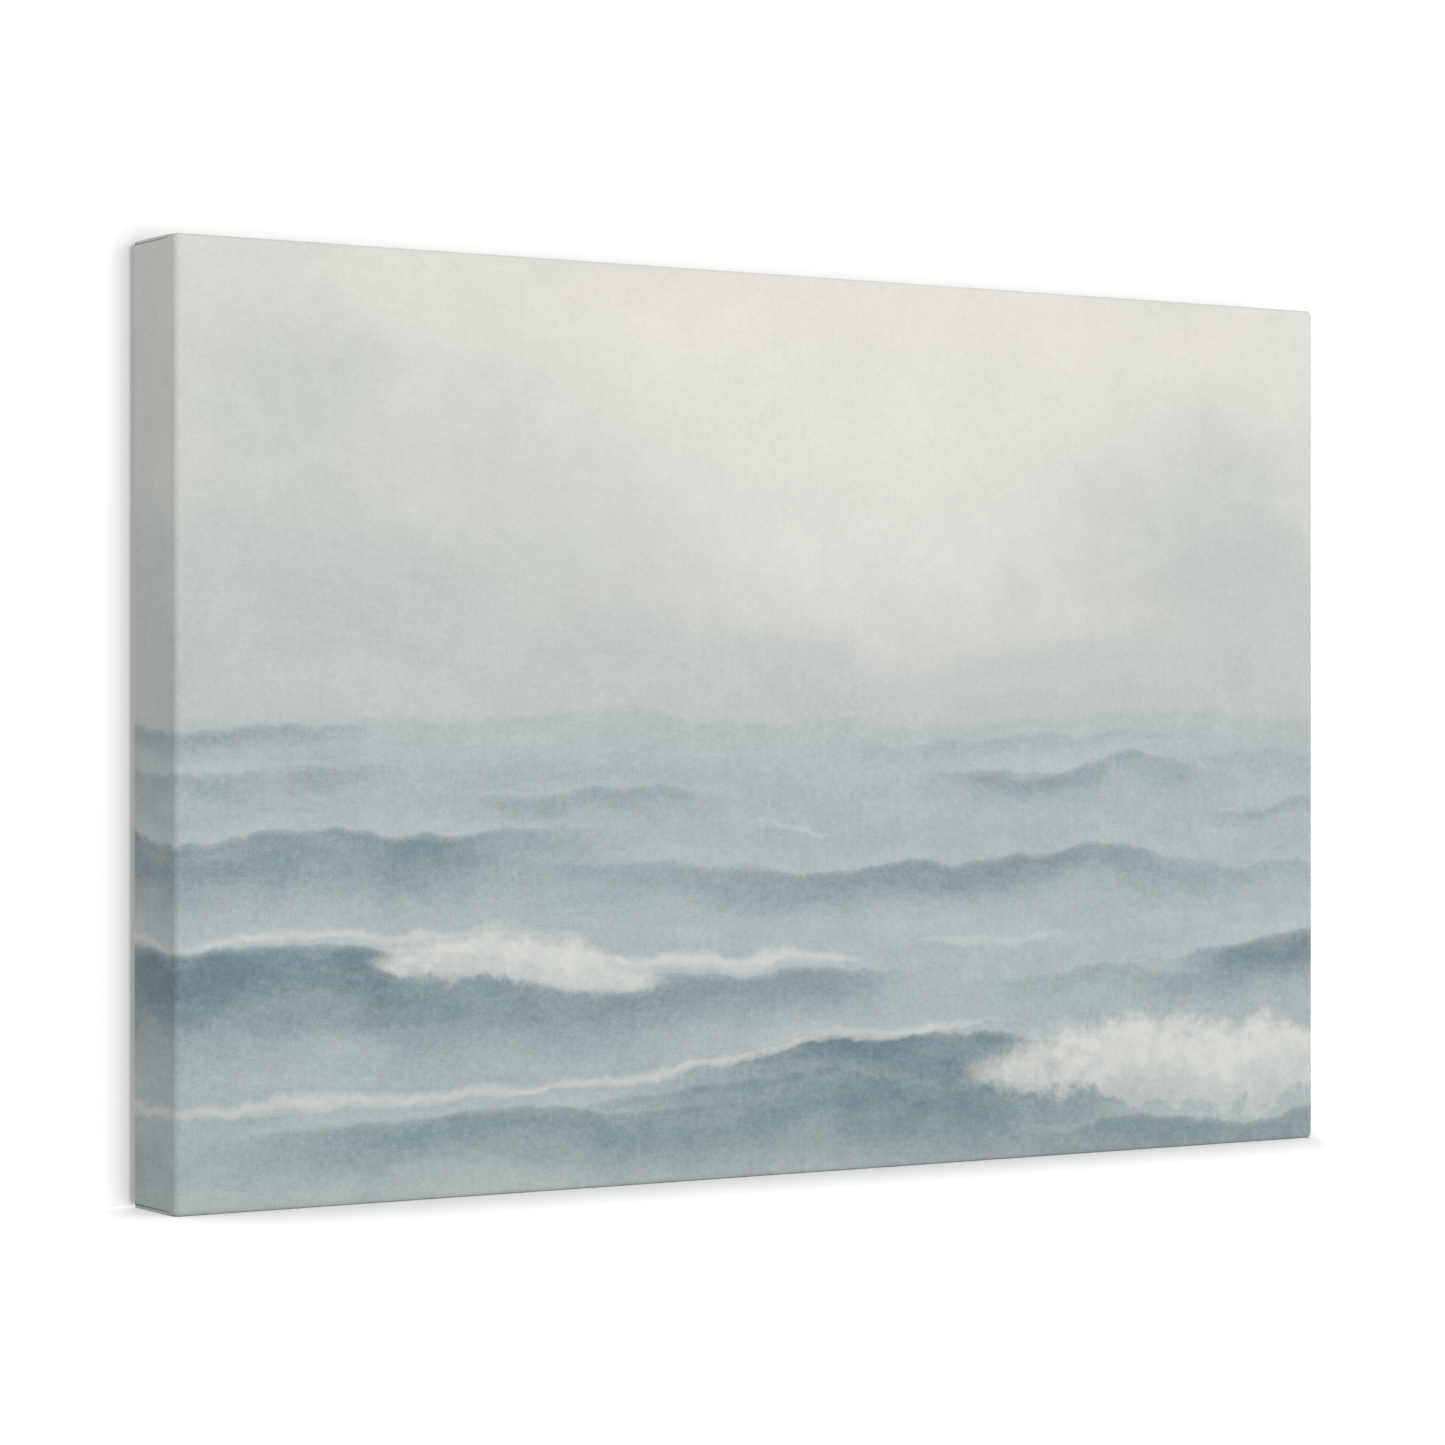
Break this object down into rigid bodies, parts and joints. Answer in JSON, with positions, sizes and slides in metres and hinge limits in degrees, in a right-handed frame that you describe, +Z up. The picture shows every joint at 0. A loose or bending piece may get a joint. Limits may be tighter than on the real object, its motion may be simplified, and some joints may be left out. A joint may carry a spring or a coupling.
{
  "type": "stretched canvas",
  "caption": "Rectangular gallery-wrapped canvas print on a keyed pine stretcher frame, with a sawtooth hanger and rubber bumpers on its back.",
  "frame": {"origin": "centre of the bottom edge of the whole part's bounding box, on the plane it stands on", "axes": "+X along the width, to the viewer's right as the picture is seen; +Z up; +Y from the printed front to the wall side"},
  "size_m": [0.4572, 0.0352, 0.3048],
  "materials": {
    "printed_canvas": "matte",
    "pine": "matte",
    "key_wood": "matte",
    "staple_wire": "satin",
    "hanger_steel": "satin",
    "nail_steel": "satin",
    "bumper_rubber": "matte"
  },
  "bodies": {
    "frame": {"canvas": "printed_canvas", "stretcher_bar_top": "pine", "stretcher_bar_bottom": "pine", "stretcher_bar_left": "pine", "stretcher_bar_right": "pine", "staples_top": "staple_wire", "staples_bottom": "staple_wire", "staples_left": "staple_wire", "staples_right": "staple_wire", "staples_corners": "staple_wire", "sawtooth_hanger": "hanger_steel", "hanger_nails": "nail_steel", "bumper_left": "bumper_rubber", "bumper_right": "bumper_rubber"},
    "key_bottom_left_rail_body": {"key_bottom_left_rail": "key_wood"},
    "key_bottom_left_stile_body": {"key_bottom_left_stile": "key_wood"},
    "key_bottom_right_rail_body": {"key_bottom_right_rail": "key_wood"},
    "key_bottom_right_stile_body": {"key_bottom_right_stile": "key_wood"},
    "key_top_left_rail_body": {"key_top_left_rail": "key_wood"},
    "key_top_left_stile_body": {"key_top_left_stile": "key_wood"},
    "key_top_right_rail_body": {"key_top_right_rail": "key_wood"},
    "key_top_right_stile_body": {"key_top_right_stile": "key_wood"}
  },
  "joints": [
    {"name": "key_bottom_left_rail_slide", "type": "slide", "parent": "frame", "child": "key_bottom_left_rail_body", "axis": [0, 0, 1], "range_m": [0, 0.024]},
    {"name": "key_bottom_left_stile_slide", "type": "slide", "parent": "frame", "child": "key_bottom_left_stile_body", "axis": [1, 0, 0], "range_m": [0, 0.024]},
    {"name": "key_bottom_right_rail_slide", "type": "slide", "parent": "frame", "child": "key_bottom_right_rail_body", "axis": [0, 0, 1], "range_m": [0, 0.024]},
    {"name": "key_bottom_right_stile_slide", "type": "slide", "parent": "frame", "child": "key_bottom_right_stile_body", "axis": [-1, 0, 0], "range_m": [0, 0.024]},
    {"name": "key_top_left_rail_slide", "type": "slide", "parent": "frame", "child": "key_top_left_rail_body", "axis": [0, 0, -1], "range_m": [0, 0.024]},
    {"name": "key_top_left_stile_slide", "type": "slide", "parent": "frame", "child": "key_top_left_stile_body", "axis": [1, 0, 0], "range_m": [0, 0.024]},
    {"name": "key_top_right_rail_slide", "type": "slide", "parent": "frame", "child": "key_top_right_rail_body", "axis": [0, 0, -1], "range_m": [0, 0.024]},
    {"name": "key_top_right_stile_slide", "type": "slide", "parent": "frame", "child": "key_top_right_stile_body", "axis": [-1, 0, 0], "range_m": [0, 0.024]}
  ]
}
